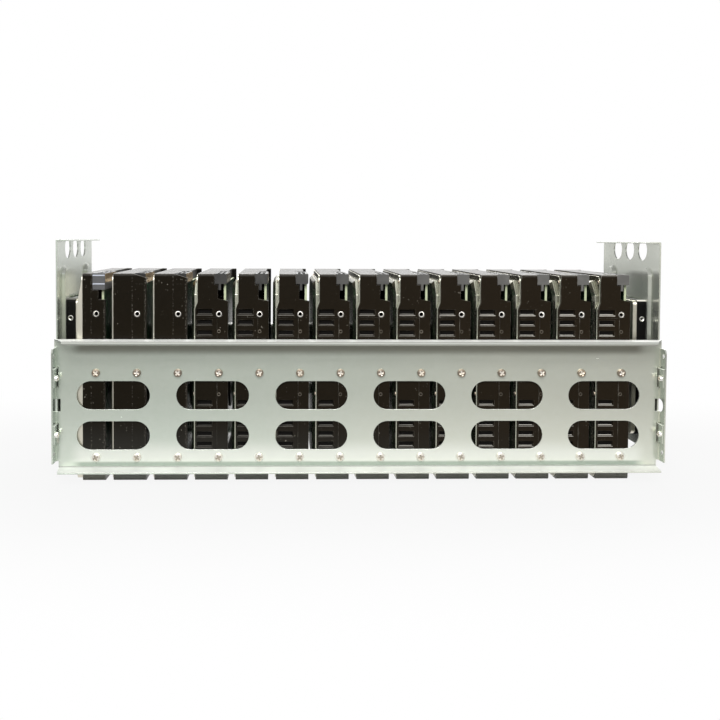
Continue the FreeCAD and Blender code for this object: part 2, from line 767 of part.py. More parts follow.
def make_connector(label, back, depth, bottom, with_peg):
    """A moulded block with a power and a data socket, each round a thin tongue."""
    body = new_body(label)
    near = dim.connector_inset - dim.drive_width / 2
    far = near + dim.connector_length

    block = new_sketch(body, "block_outline", "XY_Plane", bottom)
    rectangle(block, back, near, back + depth, far)
    pad(body, block, "block", dim.drive_length - bottom)

    sockets = new_sketch(body, "socket_outline", "XY_Plane", dim.drive_length)
    middle = back + depth / 2
    gap = (dim.socket_width - dim.tongue) / 2
    spans = ((near + dim.socket_margin, near + dim.socket_margin + dim.power_socket),
             (far - dim.socket_margin - dim.data_socket, far - dim.socket_margin))
    for start, end in spans:
        rectangle(sockets, middle - dim.socket_width / 2, start, middle + dim.socket_width / 2, end)
        rectangle(sockets, middle - dim.tongue / 2, start + gap, middle + dim.tongue / 2, end - gap)
    pocket(body, sockets, "sockets", dim.socket_depth)

    if with_peg:
        peg = new_sketch(body, "peg_outline", "XY_Plane", bottom)
        left = back + dim.peg_setback
        rectangle(peg, left, near, left + dim.peg_width, near + dim.peg_width)
        pad(body, peg, "peg", dim.peg_length, reverse=True)
    return body


def make_screw(label, head, head_height, thread, length):
    """A pan-head screw along Z, with the underside of its head at z = 0."""
    body = new_body(label)
    crown = head / 2 - dim.head_crown
    profile = new_sketch(body, "screw_profile", "XZ_Plane")
    outline(profile, [(ZERO, -length), (thread / 2, -length), (thread / 2, ZERO), (head / 2, ZERO),
                      (head / 2, head_height - dim.head_crown), (crown, head_height), (ZERO, head_height)])
    feature = body.newObject("PartDesign::Revolution", "turned")
    feature.Profile = profile
    feature.ReferenceAxis = (profile, ["V_Axis"])
    document.recompute()
    return body


# 2.5-inch drives, modelled in place on the right wall
def make_small_base(label):
    body = new_body(label)
    half = dim.small_width / 2
    thread = dim.small_screw_thread + dim.fit * 2

    block = new_sketch(body, "block_outline", "YZ_Plane", small_lid_back)
    rectangle(block, -half, small_bottom, half, small_top, dim.small_corner)
    pad(body, block, "block", bead_crest - small_lid_back)

    recess = new_sketch(body, "recess_outline", "YZ_Plane", bead_crest)
    board = small_board_edge + dim.board_clearance
    rectangle(recess, -board, small_bottom + dim.small_board_end - dim.board_clearance,
              board, small_top + dim.small_corner)
    pocket(body, recess, "board_recess", dim.small_board_recess)

    screws = new_sketch(body, "screw_hole_outline", "YZ_Plane", bead_crest)
    for height in small_hole_heights:
        for y in (-small_hole_y, small_hole_y):
            circle(screws, y, height, thread)
    pocket(body, screws, "screw_holes", dim.small_hole_depth)

    side = new_sketch(body, "side_hole_outline", "XZ_Plane", half)
    for height in small_hole_heights:
        circle(side, bead_crest - dim.small_side_hole_from_board, height, dim.small_screw_thread)
    holes = pocket(body, side, "side_holes", dim.small_side_hole_depth)
    mirrored(body, "far_side", "XZ_Plane", [holes])
    return body


def make_small_lid(label):
    body = new_body(label)
    half = dim.small_width / 2 - dim.small_lid_border
    plate = new_sketch(body, "lid_outline", "YZ_Plane", small_face)
    rectangle(plate, -half, small_bottom + dim.small_lid_border, half, small_top - dim.small_lid_border,
              dim.small_corner)
    pad(body, plate, "lid", dim.small_lid)
    return body


def make_small_board(label):
    body = new_body(label)
    board = new_sketch(body, "board_outline", "YZ_Plane", bead_crest - dim.small_board_recess)
    rectangle(board, -small_board_edge, small_bottom + dim.small_board_end,
              small_board_edge, small_top - dim.board_clearance)
    pad(body, board, "board", dim.small_board_thickness)
    return body


# Notches round the connectors, as outlines on the drive's side face
past_top = dim.drive_length + dim.drive_corner
past_board = board_face + dim.sheet
notch_left = connector_back - dim.connector_gap
step_height = connector_bottom - dim.board_clearance
stepped_notch = [
    (notch_left, past_top), (notch_left, step_height),
    (notch_left + dim.notch_step, step_height),
    (notch_left + dim.notch_step, step_height - dim.notch_depth),
    (board_face, step_height - dim.notch_depth - dim.notch_floor_drop),
    (past_board, step_height - dim.notch_depth - dim.notch_floor_drop), (past_board, past_top),
]
old_notch_left = old_connector_back - dim.connector_gap
old_floor = old_connector_bottom - dim.board_clearance
old_notch = [
    (old_notch_left, past_top), (old_notch_left, old_floor),
    (old_notch_left + dim.old_notch_step, old_floor),
    (old_notch_left + dim.old_notch_step, old_floor - dim.old_notch_depth),
    (past_board, old_floor - dim.old_notch_depth), (past_board, past_top),
]

pieces = []

# The cage: one panel and one wall, each used twice
front_panel = make_panel("front_panel")
right_wall = make_wall("right_wall")
pieces += [front_panel, right_wall]
pieces.append(turned_link("rear_panel", front_panel, 180))
pieces.append(turned_link("left_wall", right_wall, 180))

# The row of drives
ribbed_set = (make_base("ribbed_base", lid_seat, stepped_notch, True),
              make_lid("ribbed_lid", lid_seat, dim.rim_drop),
              make_board("ribbed_board", connector_bottom))
plain_set = (make_base("plain_base", lid_seat, stepped_notch, False, closed_side=True),
             make_lid("plain_lid", lid_seat, None),
             ribbed_set[2])
thin_set = (make_base("thin_base", thin_lid_seat, old_notch, False),
            make_deep_lid("thin_lid", thin_lid_seat),
            make_board("thin_board", old_connector_bottom))
connector = make_connector("connector", connector_back, dim.connector_depth, connector_bottom, True)
old_connector = make_connector("old_connector", old_connector_back, dim.old_connector_depth,
                               old_connector_bottom, False)

connector_places = []
for number in range(1, DRIVE_COUNT + 1):
    x = first_drive_x + drive_pitch * (number - 1)
    masters = thin_set if number in THIN_DRIVES else plain_set if number in PLAIN_DRIVES else ribbed_set
    for piece_name, master in zip(("base", "lid", "board"), masters):
        pieces.append(turned_link(f"drive_{number:02d}_{piece_name}", master, 0, x))
    if number in THIN_DRIVES:
        pieces.append(turned_link(f"drive_{number:02d}_connector", old_connector, 0, x))
    else:
        y = behind_rail if number in PLAIN_DRIVES else ZERO
        connector_places.append(FreeCAD.Placement(vector(x, y), FreeCAD.Rotation()))
pieces.append(linked_group("sata_connectors", connector, connector_places))

# The small drives, one on each wall
for piece_name, maker in (("base", make_small_base), ("lid", make_small_lid), ("board", make_small_board)):
    right_piece = maker(f"right_small_{piece_name}")
    pieces.append(right_piece)
    pieces.append(turned_link(f"left_small_{piece_name}", right_piece, 180))

# Screws
AXIS_X = FreeCAD.Vector(1, 0, 0)
AXIS_Y = FreeCAD.Vector(0, 1, 0)
HEAD_TO_FRONT = FreeCAD.Rotation(AXIS_X, 90)
HEAD_TO_REAR = FreeCAD.Rotation(AXIS_X, -90)
HEAD_TO_RIGHT = FreeCAD.Rotation(AXIS_Y, 90)
HEAD_TO_LEFT = FreeCAD.Rotation(AXIS_Y, -90)


def places_on_panel(y, rotation):
    """A place for each drive screw of one panel."""
    drive_places = [first_drive_x + drive_pitch * number for number in range(DRIVE_COUNT)]
    return [FreeCAD.Placement(FreeCAD.Vector(x.number, y.number, z.number), rotation)
            for z in (lower_row, upper_row) for x in drive_places]


def places_on_walls(x, ys, heights, right_rotation, left_rotation):
    """A place for each screw of the two walls."""
    return [FreeCAD.Placement(FreeCAD.Vector(side * x.number, y.number, z.number), rotation)
            for side, rotation in ((1, right_rotation), (-1, left_rotation))
            for y in ys for z in heights]


drive_screw = make_screw("drive_screw", dim.drive_screw_head, dim.drive_screw_head_height,
                         dim.thread - dim.fit * 2, dim.drive_screw_length)
tab_screw = make_screw("tab_screw", dim.tab_screw_head, dim.tab_screw_head_height,
                       dim.tab_screw_thread, dim.sheet * 2)
small_screw = make_screw("small_screw", dim.small_screw_head, dim.bead_height,
                         dim.small_screw_thread, dim.small_screw_length)
pieces.append(linked_group("front_drive_screws", drive_screw, places_on_panel(panel_front, HEAD_TO_FRONT)))
pieces.append(linked_group("rear_drive_screws", drive_screw, places_on_panel(-panel_front, HEAD_TO_REAR)))
pieces.append(linked_group("tab_screws", tab_screw, places_on_walls(
    wall_inside, (tab_screw_y, -tab_screw_y), tab_centres, HEAD_TO_LEFT, HEAD_TO_RIGHT)))
pieces.append(linked_group("small_drive_screws", small_screw, places_on_walls(
    flange_inside - dim.bead_height, (-small_hole_y, small_hole_y), small_hole_heights,
    HEAD_TO_RIGHT, HEAD_TO_LEFT)))

# Check every object, then write one file for each piece
document.recompute()
for item in document.Objects:
    if "Invalid" in item.State or "Error" in item.State:
        raise RuntimeError(f"{item.Label} failed: {item.State}")
for piece in pieces:
    shape = Part.getShape(piece)
    if shape.isNull() or not shape.isValid():
        raise RuntimeError(f"{piece.Label} has no valid shape")
os.makedirs("parts", exist_ok=True)
for piece in pieces:
    Part.getShape(piece).exportStep(f"parts/{piece.Label}.step")
print(f"{len(pieces)} pieces written")
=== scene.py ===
import math
import random

import bmesh
import bpy
from mathutils import Matrix, Vector


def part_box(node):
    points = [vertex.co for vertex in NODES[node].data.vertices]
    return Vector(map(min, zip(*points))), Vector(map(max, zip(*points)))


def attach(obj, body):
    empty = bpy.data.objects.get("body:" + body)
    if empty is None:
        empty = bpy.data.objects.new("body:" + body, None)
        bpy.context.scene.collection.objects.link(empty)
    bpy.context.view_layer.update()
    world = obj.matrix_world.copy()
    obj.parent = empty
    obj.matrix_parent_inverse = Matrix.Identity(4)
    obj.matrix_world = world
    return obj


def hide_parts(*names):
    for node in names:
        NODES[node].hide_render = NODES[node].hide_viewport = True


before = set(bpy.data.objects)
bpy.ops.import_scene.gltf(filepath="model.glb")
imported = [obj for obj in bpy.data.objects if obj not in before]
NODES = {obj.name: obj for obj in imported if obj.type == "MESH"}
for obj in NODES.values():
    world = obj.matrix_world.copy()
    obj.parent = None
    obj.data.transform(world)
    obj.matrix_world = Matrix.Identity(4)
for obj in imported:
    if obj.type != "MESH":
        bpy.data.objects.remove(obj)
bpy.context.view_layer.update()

# Looks of a rack drive cage: fourteen 3.5-inch drives on end and one 2.5-inch drive on each side wall.
# Lengths are written in millimetres and multiplied by MM. X runs along the row, -Y is the front, Z is up.
MM = 0.001
ROOT = "root"
LONG_SIDES = (("front", -1), ("rear", 1))

# Drives, and the sheet that carries them
DRIVES = range(1, 15)
OLD_DRIVE = 1
PLAIN_DRIVES = (2, 3)
RIBBED_DRIVES = [number for number in DRIVES if number not in (OLD_DRIVE, *PLAIN_DRIVES)]
DRIVE_PITCH = 28.75
DRIVE_LENGTH = 147.0
DRIVE_WIDTH = 101.6
SHEET = 1.0
DRIVE_SIDE_Y = DRIVE_WIDTH / 2
PANEL_FACE_Y = DRIVE_SIDE_Y + SHEET
SIDE_HOLES_BELOW_TOP = (28.5, 70.1, 130.1)
SIDE_HOLE_Z, UPPER_SCREW_ROW_Z, LOWER_SCREW_ROW_Z = (DRIVE_LENGTH - below for below in SIDE_HOLES_BELOW_TOP)
BOSS_HEIGHTS = (61.4, 106.2)
LID_EMBOSS = 2.0
LID_DROP = 1.8
LID_SCREW_Y = 47.6
LID_SCREW_HEIGHTS = (12.0, 61.4, 141.5)

# Connectors on the drives' upper ends
CONNECTOR_NEAR_Y = -50.2
CLOSED_CONNECTOR_NEAR_Y = -47.2
RIB_ENDS = (-2.5, 6.0)
RIB_HEIGHTS = (139.5, 145.5)
RIB_HALF_DEPTH = 0.2
RIB_HALF_HEIGHT = 0.45
GOLD_PIN_DRIVES = (OLD_DRIVE, *PLAIN_DRIVES)
PIN_COUNT = 21
PIN_PITCH = 1.75
FIRST_PIN = 1.6
PIN_LEFT = 5.3
OLD_PIN_LEFT = 6.05
PIN_THICKNESS = 0.4
PIN_HALF_WIDTH = 0.55
PIN_FOOT_Z = 140.5
PIN_HEAD_Z = 146.6

# Screws of the wall tabs, and of the small drives
TAB_SCREW_X = 213.9
TAB_SCREW_Y = 56.8
TAB_SCREW_HEIGHTS = (34.0, 73.8)
SMALL_SCREW_X = 212.8
SMALL_SCREW_Y = 30.86
SMALL_HOLE_HEIGHTS = (37.4, 114.0)
SMALL_SIDE_HOLE_X = 208.8
SMALL_SIDE_Y = 34.925


def drive_x(number):
    """The axis of a drive's side holes."""
    return (number - 7.5) * DRIVE_PITCH


# Finishes
class Signal:
    """A shader socket that takes part in sums, so that arithmetic on it adds Math nodes."""

    def __init__(self, finish, socket):
        self.finish = finish
        self.socket = socket

    def math(self, operation, first, second=0.0):
        return self.finish.add("ShaderNodeMath", {"operation": operation}, {0: first, 1: second})

    def __add__(self, other):
        return self.math("ADD", self, other)

    def __radd__(self, other):
        return self.math("ADD", other, self)

    def __sub__(self, other):
        return self.math("SUBTRACT", self, other)

    def __rsub__(self, other):
        return self.math("SUBTRACT", other, self)

    def __mul__(self, other):
        return self.math("MULTIPLY", self, other)

    def __rmul__(self, other):
        return self.math("MULTIPLY", other, self)

    def __truediv__(self, other):
        return self.math("DIVIDE", self, other)

    def __rtruediv__(self, other):
        return self.math("DIVIDE", other, self)

    def fraction(self):
        return self.math("FRACT", self)

    def size(self):
        return self.math("ABSOLUTE", self)

    def larger(self, other):
        return self.math("MAXIMUM", self, other)

    def part(self, low, high):
        """0 below low, 1 above high."""
        return self.finish.add("ShaderNodeMapRange", {"interpolation_type": "SMOOTHSTEP"},
                               {"Value": self, "From Min": low, "From Max": high})

    def past(self, change):
        """0 short of a change and 1 past it, where the change is a start and an end in millimetres."""
        start, end = change
        return self.part(start * MM, end * MM)

    def short_of(self, change):
        """1 short of a change and 0 past it."""
        return 1.0 - self.past(change)


class Finish:
    """A node material around one Principled shader."""

    def __init__(self, name):
        self.material = bpy.data.materials.new(name)
        self.material.use_nodes = True
        self.tree = self.material.node_tree
        self.shader = self.tree.nodes["Principled BSDF"]

    def add(self, kind, settings=None, sockets=None, output=0):
        """Adds a node with its settings, then its sockets' values or links; gives one output."""
        node = self.tree.nodes.new(kind)
        for name, value in (settings or {}).items():
            setattr(node, name, value)
        for name, value in (sockets or {}).items():
            self.feed(node.inputs[name], value)
        return Signal(self, node.outputs[output])

    def feed(self, socket, value):
        if isinstance(value, Signal):
            self.tree.links.new(value.socket, socket)
        elif socket.type == "RGBA" and len(value) == 3:
            socket.default_value = (*value, 1)
        else:
            socket.default_value = value

    def set(self, **sockets):
        """Feeds the Principled shader; underscores stand for the spaces of its socket names."""
        for name, value in sockets.items():
            self.feed(self.shader.inputs[name.replace("_", " ")], value)
        return self

    def place(self, stretch=(1, 1, 1)):
        """The point on the piece, in metres, stretched along the axes."""
        point = self.add("ShaderNodeTexCoord", output="Object")
        return self.add("ShaderNodeMapping", None, {"Vector": point, "Scale": stretch})

    def along(self, axis):
        """The place along one axis, in metres."""
        return self.add("ShaderNodeSeparateXYZ", None, {0: self.place()}, axis)

    def noise(self, scale, detail=2.0, stretch=(1, 1, 1), roughness=0.5):
        return self.add("ShaderNodeTexNoise", None, {
            "Vector": self.place(stretch), "Scale": scale, "Detail": detail, "Roughness": roughness})

    def crystals(self, scale):
        """A grey value for each cell of a Voronoi pattern."""
        cell = self.add("ShaderNodeTexVoronoi", None, {"Vector": self.place(), "Scale": scale}, "Color")
        return self.add("ShaderNodeRGBToBW", None, {"Color": cell})

    def blend(self, amount, first, second):
        return self.add("ShaderNodeMix", {"data_type": "RGBA"}, {0: amount, 6: first, 7: second}, 2)

    def coat(self, colour, layers):
        """Lays tones over a colour, one on another, each given as its mask, its strength and its tone."""
        for mask, strength, tone in layers:
            colour = self.blend(mask * strength, colour, tone)
        return colour

    def bump(self, height, distance, strength, over=None):
        sockets = {"Height": height, "Distance": distance, "Strength": strength}
        if over is not None:
            sockets["Normal"] = over
        return self.add("ShaderNodeBump", None, sockets)

    def rounded(self, radius):
        """The normal of a piece whose sharp edges were rounded off."""
        return self.add("ShaderNodeBevel", {"samples": 6}, {"Radius": radius})

    def surface_normal(self):
        return self.add("ShaderNodeNewGeometry", output="Normal")

    def edges(self, soft_normal, gain):
        """1 on sharp edges, 0 on flats."""
        flat = self.add("ShaderNodeVectorMath", {"operation": "DOT_PRODUCT"},
                        {0: soft_normal, 1: self.surface_normal()}, 1)
        return ((1.0 - flat) * gain).part(0.0, 1.0)

    def normal(self, axis):
        """The surface normal's part along an axis, from 1 along it to -1 against it."""
        return self.add("ShaderNodeSeparateXYZ", None, {0: self.surface_normal()}, axis)

    def facing(self, axis):
        """How far the surface faces along an axis, whichever way."""
        return self.normal(axis).size()


# Where the sheet changes tone, as the start and end of each change; most of these tones are painted light
# and shade. Depths are from the middle, both ways.
SHEET_ROW = (-220.0, 220.0)
PANEL_DEPTH = (54.0, 56.0)
PANEL_END = (196.0, 207.0)
FLOOR_LIGHT_BAND = (18.0, 32.0)
CREASE_SHADE_FOOT = (9.4, 10.6)
CREASE_SHADE_HEAD = (12.8, 14.6)
SHADE_UNDER_LIP = (88.5, 94.5)
HEM_DEPTH = (58.0, 60.0)
HEM_FOOT = (70.0, 80.0)
FLANGE_DEPTH = (53.0, 53.6)
WALL_DEPTH = (50.0, 50.6)
WALL_INSIDE = (-180.0, -120.0)
WALL_HEAD = (115.0, 135.0)
TOP_LIP = (30.0, 80.0)
WALL_LEDGE = (110.0, 140.0)


def sheet_layers(steel, height):
    """Painted light and shade on the upright sheet: the panels' faces, hems and side flanges, and the
    walls' inner faces.
    """
    row = steel.along("X")
    depth = steel.along("Y").size()
    upright = steel.facing("Y").part(0.5, 0.8)
    panel = upright * depth.short_of(PANEL_DEPTH) * row.size().short_of(PANEL_END)
    crease_shade = height.past(CREASE_SHADE_FOOT) * height.short_of(CREASE_SHADE_HEAD)
    shaded_hem = upright * depth.past(HEM_DEPTH) * height.past(HEM_FOOT)
    shaded_flange = steel.facing("X").part(0.7, 0.9) * depth.past(FLANGE_DEPTH)
    wall = (steel.normal("X") * row).short_of(WALL_INSIDE) * depth.short_of(WALL_DEPTH)
    wall_light_and_shade = steel.blend(height.past(WALL_HEAD), (0.44, 0.47, 0.42), (0.84, 0.87, 0.80))
    return (
        # painted light: the panels' foot paler, as lit by the white floor
        (panel * height.short_of(FLOOR_LIGHT_BAND), 0.8, (0.84, 0.865, 0.79)),
        # painted shade in the crease above the bottom lip
        (panel * crease_shade, 1.0, (0.34, 0.40, 0.34)),
        # painted shade on the front of the top lip's hem
        (shaded_hem, 0.6, (0.36, 0.36, 0.33)),
        # painted shade on the side flanges, which face sideways
        (shaded_flange, 0.7, (0.38, 0.44, 0.40)),
        # painted light and shade on the walls' inner faces: dark low down, pale near the top
        (wall, 0.6, wall_light_and_shade),
        (panel * height.past(SHADE_UNDER_LIP), 0.7, (0.20, 0.18, 0.14)),
    )


def make_galvanised():
    """Zinc-coated sheet: pale grey-green, faint spangle, drawn lines along the rolling direction, with
    light and shade painted on by place.
    """
    steel = Finish("galvanised_sheet")
    cloud = steel.noise(scale=9.0, detail=3.0).part(0.35, 0.65)
    drawn = steel.noise(scale=70.0, detail=4.0, stretch=(0.6, 14.0, 14.0))
    smudge = steel.noise(scale=38.0, detail=5.0, roughness=0.65).part(0.5, 0.75)
    drift = steel.along("X").past(SHEET_ROW) * 0.8 + cloud * 0.2
    tint = steel.blend(drift, (0.60, 0.665, 0.58), (0.685, 0.695, 0.60))
    height = steel.along("Z")
    # painted light on the lips' upward faces, paler on the top lip; the wall ledges keep a plain tone
    lit_lip_tops = steel.blend(height.past(TOP_LIP), (0.72, 0.725, 0.70), (0.95, 0.95, 0.92))
    ledge = steel.blend(height.past(WALL_LEDGE), lit_lip_tops, (0.50, 0.51, 0.48))
    rise = steel.normal("Z")
    up = rise.part(0.05, 0.35)
    shaded_bend = rise.part(0.05, 0.2) * (1.0 - rise.part(0.88, 0.96))
    colour = steel.coat(tint, (
        (steel.crystals(scale=330.0), 0.2, (0.73, 0.76, 0.70)),
        (smudge, 0.12, (0.55, 0.58, 0.52)),
        *sheet_layers(steel, height),
        # painted light: upward faces of lips and folds painted pale as lit from above
        (up, 0.85, ledge),
        # painted shade on the bends, dark in place of their highlight
        (shaded_bend, 0.9, (0.26, 0.27, 0.24)),
    ))
    grain = steel.bump(drawn, distance=0.035 * MM, strength=0.35, over=steel.rounded(0.25 * MM))
    return steel.set(Base_Color=colour, Metallic=0.70 - up * 0.5, Normal=grain,
                     Roughness=0.17 + drawn * 0.10 + smudge * 0.05 + up * 0.35)


# Where the castings change tone; several of these are painted light and shade
CASTING_ROW = (-200.0, 200.0)
OLD_DRIVE_END = (-178.0, -176.0)
PLAIN_DRIVES_END = (-116.0, -113.0)
FLOOR_LIGHT_FOOT = (20.0, 50.0)
HIGHLIGHT_BROW = (143.5, 145.0)
CASTING_TOP = (145.9, 146.6)
CASTING_FOOT = (3.5, 6.0)
OLD_CASTING_FOOT = (6.0, 9.0)
POCKET_MOUTH = (49.3, 50.2)
MOUTH_LINE = (50.1, 50.3)
FLOOR_LINE = (49.15, 49.4)
SEAM_LEFT = 3.5
CHIPS_RIGHT = 5.6
SCRATCH_Z = 139.6
SCRATCH_LEFT = 2.0
SCRATCH_EDGE = (0.1, 0.35)


def casting_marks(casting):
    """A seam, a row of chips and a scratch on the sides of the drives without ribs, broken into specks."""
    row = casting.along("X")
    specks = casting.noise(scale=1100.0, detail=3.0).part(0.52, 0.66)
    # In millimetres from the axis of each drive's side holes, counted from 8 pitches left of the middle
    across = ((row / (DRIVE_PITCH * MM) + 8.0).fraction() - 0.5) * DRIVE_PITCH
    seam = 1.0 - (across + SEAM_LEFT).size().part(0.15, 0.45)
    chips = 1.0 - (across - CHIPS_RIGHT).size().part(0.3, 0.9)
    from_scratch = (casting.along("Z") - SCRATCH_Z * MM).size()
    scratch = from_scratch.short_of(SCRATCH_EDGE) * (across + SCRATCH_LEFT).part(0.0, 2.0)
    marks = ((seam + chips) * specks).larger(scratch * specks * 0.8)
    return marks * row.short_of(PLAIN_DRIVES_END)


def make_casting(name, dark, warm):
    """Black painted casting with a fine orange-peel skin, its edges painted bright partly as wear and
    partly as a painted highlight.
    """
    casting = Finish(name)
    soft = casting.rounded(0.35 * MM)
    bright_edges = casting.edges(soft, gain=5.0)
    patchy = casting.noise(scale=160.0, detail=4.0).part(0.42, 0.68)
    scuffs = casting.noise(scale=420.0, detail=5.0, stretch=(1, 1, 0.25), roughness=0.7).part(0.66, 0.80)
    dust = casting.noise(scale=520.0).part(0.70, 0.76) * casting.noise(scale=60.0).part(0.45, 0.6)
    streaks = casting.noise(scale=150.0, detail=3.0, stretch=(6.0, 0.4, 1.0)).part(0.3, 0.7)
    right = casting.along("X").past(CASTING_ROW)
    depth = casting.along("Y").size()
    height = casting.along("Z")
    rise = casting.normal("Z")
    on_side = casting.facing("Y").part(0.4, 0.6)
    pocket_shade = on_side * depth.short_of(POCKET_MOUTH)
    ledge = rise.part(0.6, 0.75) * (1.0 - rise.part(0.93, 0.97))
    lines = depth.past(MOUTH_LINE) + depth.short_of(FLOOR_LINE)
    top_sheen = height.past(CASTING_TOP)
    old_foot = casting.along("X").short_of(OLD_DRIVE_END) * height.short_of(OLD_CASTING_FOOT)
    body = casting.blend(right * 0.55 + casting.noise(scale=900.0, detail=3.0) * 0.45, dark, warm)
    colour = casting.coat(body, (
        # painted light: the left drives' lower sides paler, as lit by the white floor
        (height.short_of(FLOOR_LIGHT_FOOT) * (1.0 - right), 0.8, (0.024, 0.023, 0.020)),
        (scuffs, 0.3, (0.13, 0.115, 0.092)),
        (dust * (1.0 - right * 0.5), 0.6, (0.42, 0.39, 0.33)),
        # edges painted bright: partly wear, partly painted highlight
        (bright_edges * (0.15 + patchy * 0.7), 1.0, (0.33, 0.31, 0.27)),
        # painted highlight along the top edges
        (bright_edges * height.past(HIGHLIGHT_BROW) * (0.35 + patchy * 0.5), 1.0, (0.75, 0.71, 0.62)),
        (casting_marks(casting) * on_side, 0.3, (0.36, 0.34, 0.29)),
        # painted shade inside the rib pockets
        (pocket_shade, 0.9, (0.0012, 0.001, 0.0008)),
        # painted glints along the pocket ledges, stronger towards the right
        (ledge * lines * (0.12 + right * right * 0.88), 1.0, (0.75, 0.72, 0.65)),
        # painted sheen: the tops a little paler
        (top_sheen * (0.12 + streaks * 0.03), 1.0, (0.40, 0.38, 0.33)),
        # painted reflection of the white floor along every drive's foot
        (height.short_of(CASTING_FOOT), 0.9, (0.50, 0.50, 0.475)),
        (old_foot, 0.8, (0.52, 0.50, 0.46)),
    ))
    skin = casting.bump(casting.noise(scale=1500.0), distance=0.03 * MM, strength=0.25, over=soft)
    dulled = pocket_shade * 0.35 + ledge * 0.3 - top_sheen * 0.12
    casting.set(Base_Color=colour, Roughness=0.30 + patchy * 0.04 + dulled, Normal=skin)
    return casting.set(Specular_IOR_Level=0.09)


LID_RIM = (48.8, 49.4)


def make_lid(name, first, second, roughness, field_shade):
    """Pressed lid: drawn metal with fine vertical lines, its field darkened as painted shade and its edges
    painted bright as a highlight.
    """
    lid = Finish(name)
    lines = lid.noise(scale=240.0, detail=4.0, stretch=(12.0, 12.0, 0.5))
    cloud = lid.noise(scale=30.0, detail=3.0).part(0.3, 0.7)
    bright = lid.blend(cloud * 0.7 + lines * 0.3, first, second)
    bright_edges = lid.edges(lid.rounded(0.8 * MM), gain=4.0)
    slope = lid.facing("Y").part(0.2, 0.45)
    field = lid.along("Y").size().short_of(LID_RIM) * (1.0 - slope)
    colour = lid.coat(bright, (
        # painted shade on the lid's flat field
        (field, field_shade, (0.17, 0.16, 0.115)),
        # painted highlight on the field's edges
        (bright_edges * field, field_shade, (0.88, 0.85, 0.73)),
    ))
    brushed = lid.bump(lines, distance=0.03 * MM, strength=0.25, over=lid.rounded(0.3 * MM))
    return lid.set(Base_Color=colour, Metallic=1.0, Normal=brushed, Roughness=roughness + lines * 0.08)


def make_board():
    """Green laminate: glossy mask with faint tracks on the faces, pale bare glass fibre on the edges."""
    board = Finish("circuit_board_laminate")
    face = board.facing("X").part(0.4, 0.6)
    tracks = board.add("ShaderNodeTexWave", {"bands_direction": "Y", "wave_type": "BANDS"}, {
        "Vector": board.place(), "Scale": 260.0, "Distortion": 9.0, "Detail": 2.0, "Detail Scale": 0.4,
    }, "Fac")
    copper = tracks.part(0.72, 0.80)
    fibre = board.noise(scale=900.0, detail=3.0)
    mask = board.blend(copper * 0.6, (0.012, 0.040, 0.019), (0.028, 0.080, 0.036))
    edge = board.blend(fibre, (0.41, 0.47, 0.29), (0.58, 0.63, 0.43))
    raised = board.bump(copper, distance=0.03 * MM, strength=0.3)
    return board.set(Base_Color=board.blend(face, edge, mask), Roughness=0.62 - face * 0.48, Normal=raised)


CONNECTOR_ROW = (-160.0, 160.0)


def make_plastic(name, first, second, roughness):
    """Moulded plastic with a fine eroded skin, paler towards the right end of the row."""
    plastic = Finish(name)
    soft = plastic.rounded(0.25 * MM)
    cloud = plastic.noise(scale=110.0, detail=3.0).part(0.3, 0.7)
    row_tone = plastic.along("X").past(CONNECTOR_ROW) * 0.8 + cloud * 0.2
    skin = plastic.noise(scale=2600.0)
    worn = plastic.edges(soft, gain=4.0)
    colour = plastic.coat(plastic.blend(row_tone, first, second), [(worn, 0.2, (0.26, 0.26, 0.27))])
    eroded = plastic.bump(skin, distance=0.02 * MM, strength=0.4, over=soft)
    plastic.set(Base_Color=colour, Roughness=roughness + skin * 0.12, Normal=eroded)
    return plastic.set(Specular_IOR_Level=0.3)


LOWER_SCREWS = (25.0, 28.0)


def make_plated(name, first, second, roughness, low=None):
    """Plated steel whose tint drifts, with fine turning marks; low is a second colour for the lower screws,
    painted to stand for their different light.
    """
    plated = Finish(name)
    drift = plated.noise(scale=45.0, detail=1.0).part(0.35, 0.65)
    marks = plated.noise(scale=1400.0, detail=3.0)
    colour = plated.blend(drift, first, second)
    if low is not None:
        colour = plated.blend(plated.along("Z").past(LOWER_SCREWS), low, colour)
    turned = plated.bump(marks, distance=0.02 * MM, strength=0.3)
    return plated.set(Base_Color=colour, Metallic=1.0, Roughness=roughness + marks * 0.15, Normal=turned)


galvanised = make_galvanised()
black_casting = make_casting("black_casting", (0.0044, 0.0034, 0.0015), (0.0165, 0.0112, 0.0058))
small_casting = make_casting("small_drive_casting", (0.022, 0.0215, 0.018), (0.009, 0.0088, 0.0075))
silver_lid = make_lid("silver_lid", (0.46, 0.47, 0.38), (0.62, 0.62, 0.52), 0.22, 0.9)
cream_lid = make_lid("warm_silver_lid", (0.62, 0.59, 0.49), (0.76, 0.73, 0.63), 0.30, 0.0)
laminate = make_board()
connector_plastic = make_plastic("slate_connector", (0.010, 0.0095, 0.009), (0.135, 0.132, 0.124), 0.45)
old_connector_plastic = make_plastic("grey_connector", (0.092, 0.092, 0.094), (0.125, 0.125, 0.13), 0.38)
pale_plastic = make_plastic("pale_connector_ribs", (0.50, 0.53, 0.60), (0.62, 0.64, 0.70), 0.35)
